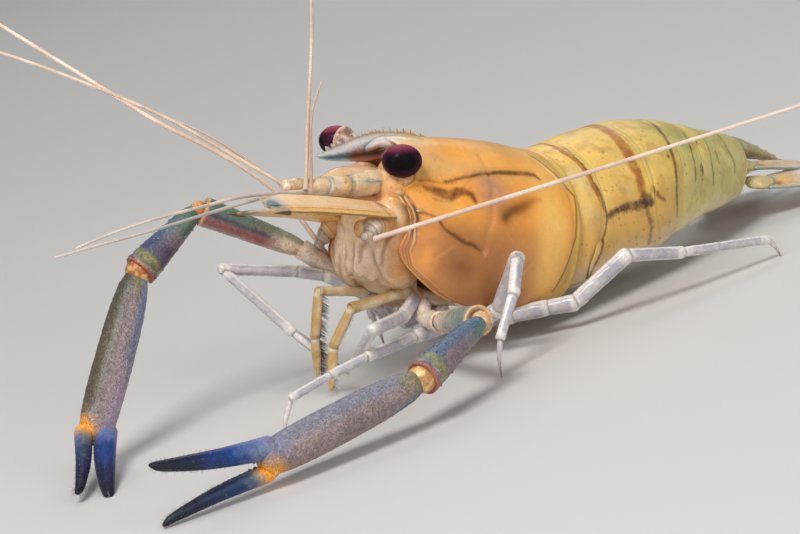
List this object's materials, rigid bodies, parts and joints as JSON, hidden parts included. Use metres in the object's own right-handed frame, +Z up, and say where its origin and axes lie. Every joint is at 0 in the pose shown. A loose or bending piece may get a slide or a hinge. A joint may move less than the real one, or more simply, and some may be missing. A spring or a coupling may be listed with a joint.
{
  "type": "shrimp",
  "caption": "Still life-size model of a long-armed freshwater shrimp on its legs, long claw arms forward, feelers spread, tail stretched back.",
  "frame": {"origin": "on the floor plane, below the middle of the bounding box", "axes": "+Z up, +Y towards the tail, the head faces -Y, +X towards the animal's left"},
  "size_m": [0.067, 0.0844, 0.0436],
  "materials": {
    "carapace_shell": "translucent amber shell with brown pigment lines, satin gloss",
    "rostrum_blade": "translucent grey, blue stripe towards the tip",
    "eye_dark": "dark purple-black, glossy",
    "eyestalk_tan": "tan-grey, satin",
    "feeler_pink": "beige-pink, finely ringed",
    "head_cream": "cream, speckled, satin",
    "scale_amber": "thin peach-amber blade, satin",
    "jaw_cream": "cream with a yellow-orange front stripe",
    "leg_glass": "bluish white, translucent, pale rims",
    "arm_teal_mauve": "teal to mauve-grey, finely granular, orange joints",
    "finger_navy": "dark navy blue with an orange base",
    "abdomen_shell": "greenish-yellow translucent shell with dark hind bands",
    "tail_fan": "grey-green to pinkish white with a teal margin",
    "swimmeret": "pale olive, thin"
  },
  "bodies": {
    "root": {"abdomen_1": "abdomen_shell", "abdomen_2": "abdomen_shell", "abdomen_3": "abdomen_shell", "abdomen_4": "abdomen_shell", "abdomen_5": "abdomen_shell", "abdomen_6": "abdomen_shell", "antenna_stalk_L": "head_cream", "antenna_stalk_R": "head_cream", "antenna_whip_L": "feeler_pink", "antenna_whip_R": "feeler_pink", "antennal_scale_L": "scale_amber", "antennal_scale_R": "scale_amber", "antennule_inner_L": "feeler_pink", "antennule_inner_R": "feeler_pink", "antennule_outer_L": "feeler_pink", "antennule_outer_R": "feeler_pink", "antennule_stalk_L": "head_cream", "antennule_stalk_R": "head_cream", "carapace": "carapace_shell", "cheliped_carpus_L": "arm_teal_mauve", "cheliped_carpus_R": "arm_teal_mauve", "cheliped_finger_L": "finger_navy", "cheliped_finger_R": "finger_navy", "cheliped_merus_L": "arm_teal_mauve", "cheliped_merus_R": "arm_teal_mauve", "cheliped_palm_L": "arm_teal_mauve", "cheliped_palm_R": "arm_teal_mauve", "eye_L": "eye_dark", "eye_R": "eye_dark", "eyestalk_L": "eyestalk_tan", "eyestalk_R": "eyestalk_tan", "head": "head_cream", "leg1_L": "leg_glass", "leg1_R": "leg_glass", "leg3_L": "leg_glass", "leg3_R": "leg_glass", "leg4_L": "leg_glass", "leg4_R": "leg_glass", "leg5_L": "leg_glass", "leg5_R": "leg_glass", "maxilliped_L": "jaw_cream", "maxilliped_R": "jaw_cream", "mouthparts": "jaw_cream", "pleopod1_L": "swimmeret", "pleopod1_R": "swimmeret", "pleopod2_L": "swimmeret", "pleopod2_R": "swimmeret", "pleopod3_L": "swimmeret", "pleopod3_R": "swimmeret", "pleopod4_L": "swimmeret", "pleopod4_R": "swimmeret", "pleopod5_L": "swimmeret", "pleopod5_R": "swimmeret", "rostrum": "rostrum_blade", "sternum": "head_cream", "telson": "tail_fan", "uropod_inner_L": "tail_fan", "uropod_inner_R": "tail_fan", "uropod_outer_L": "tail_fan", "uropod_outer_R": "tail_fan"}
  },
  "joints": []
}
